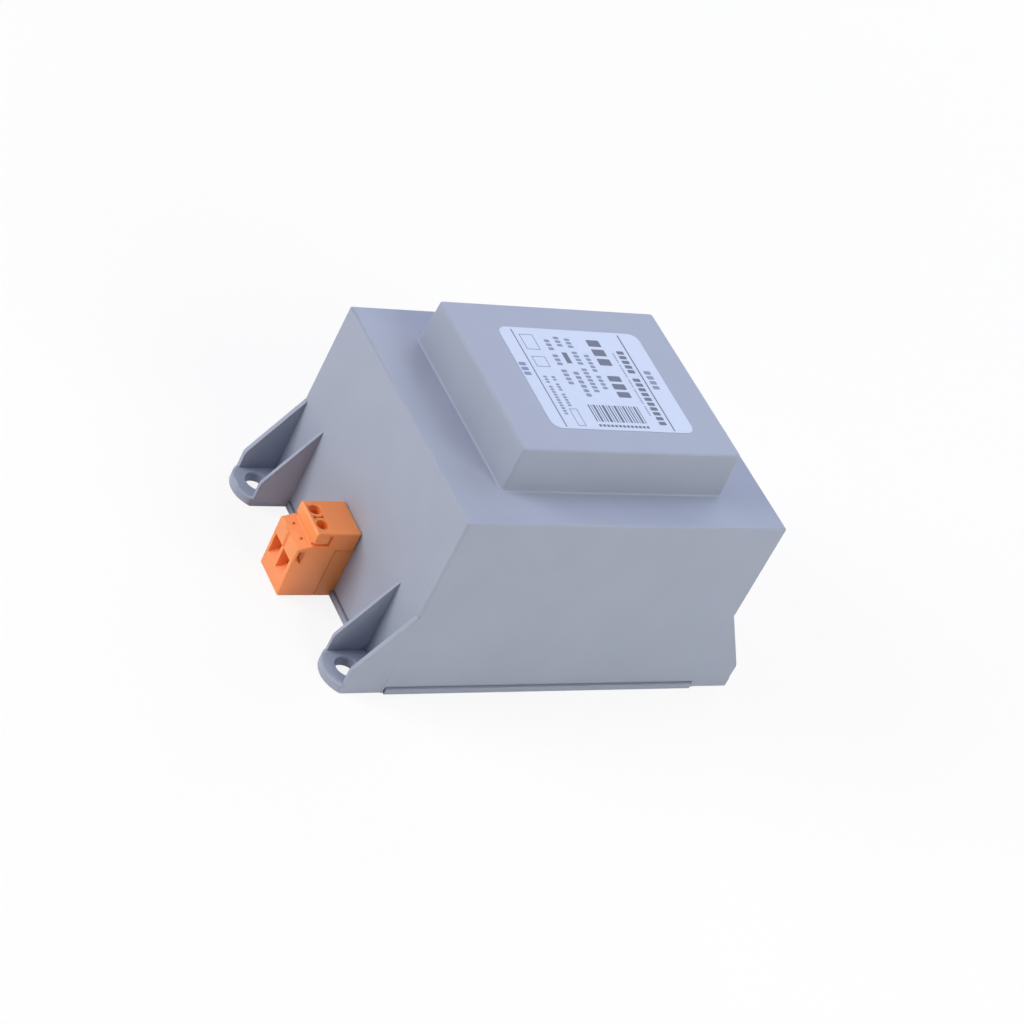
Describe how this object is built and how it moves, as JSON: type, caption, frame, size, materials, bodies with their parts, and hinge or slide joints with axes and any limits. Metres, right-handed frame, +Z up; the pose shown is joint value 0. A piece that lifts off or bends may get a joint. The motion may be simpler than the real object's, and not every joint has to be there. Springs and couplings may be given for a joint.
{
  "type": "mains transformer",
  "caption": "Potted mains transformer in a stepped plastic case with ribbed screw feet and plug-in screw terminals at both ends.",
  "frame": {"origin": "middle of the base, on the surface the feet stand on", "axes": "+Z up; X along the long side of the case, +X to the primary terminal and -X to the secondary terminal"},
  "size_m": [0.151, 0.0944, 0.0838],
  "materials": {
    "case": "fine moulded texture, blue grey",
    "cover": "fine moulded texture, blue grey",
    "resin": "cast potting resin, dark",
    "laminations": "stacked silicon steel sheets",
    "bobbin": "natural glass-filled plastic",
    "copper": "enamelled copper wire in layers",
    "tape": "polyester winding tape",
    "lead": "insulated flexible lead",
    "terminal": "moulded, orange",
    "tinned": "tinned pin",
    "clamp": "zinc-plated steel",
    "screw": "zinc-plated steel",
    "contact": "tinned copper alloy",
    "label": "printed film, print left as plain bars"
  },
  "bodies": {
    "transformer": {"housing": "case", "base_cover": "cover", "potting": "resin", "e_laminations": "laminations", "i_laminations": "laminations", "bobbin": "bobbin", "rating_label": "label", "primary_winding": "copper", "primary_tape": "tape", "primary_leads": "lead", "primary_header": "terminal", "primary_pins": "tinned", "secondary_winding": "copper", "secondary_tape": "tape", "secondary_leads": "lead", "secondary_header": "terminal", "secondary_pins": "tinned"},
    "primary_connector": {"primary_plug": "terminal", "primary_contacts": "contact", "primary_clamps": "clamp", "primary_screws": "screw"},
    "secondary_connector": {"secondary_plug": "terminal", "secondary_contacts": "contact", "secondary_clamps": "clamp", "secondary_screws": "screw"}
  },
  "joints": [
    {"name": "primary_unplug", "type": "slide", "parent": "transformer", "child": "primary_connector", "axis": [1, 0, 0], "range_m": [0, 0.009]},
    {"name": "secondary_unplug", "type": "slide", "parent": "transformer", "child": "secondary_connector", "axis": [-1, 0, 0], "range_m": [0, 0.009]}
  ]
}
